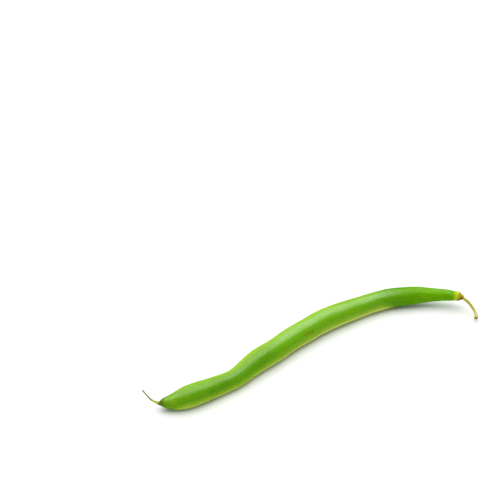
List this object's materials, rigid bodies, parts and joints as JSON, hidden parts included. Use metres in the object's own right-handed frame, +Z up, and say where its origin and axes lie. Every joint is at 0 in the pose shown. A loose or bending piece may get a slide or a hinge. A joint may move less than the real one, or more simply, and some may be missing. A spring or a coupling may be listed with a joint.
{
  "type": "green bean",
  "caption": "Long, gently S-curved snap bean with a thread-tipped beak, two seams, low seed swellings, a dried calyx and a short drooping stalk, lying on its side.",
  "frame": {"origin": "on the surface that the bean lies on, under the middle of the whole bean's bounding box", "axes": "+X along the pod from its beak to its stalk end, +Y towards the side that the middle of the pod bows to, +Z up from the surface"},
  "size_m": [0.1316, 0.0276, 0.008],
  "materials": {
    "pod_skin": "fresh bean skin, smooth with a soft satin sheen",
    "calyx_husk": "dried, dull ochre-brown husk",
    "stalk_bark": "dull yellow-olive stalk skin"
  },
  "bodies": {
    "root": {"pod": "pod_skin", "calyx": "calyx_husk", "stalk": "stalk_bark"}
  },
  "joints": []
}
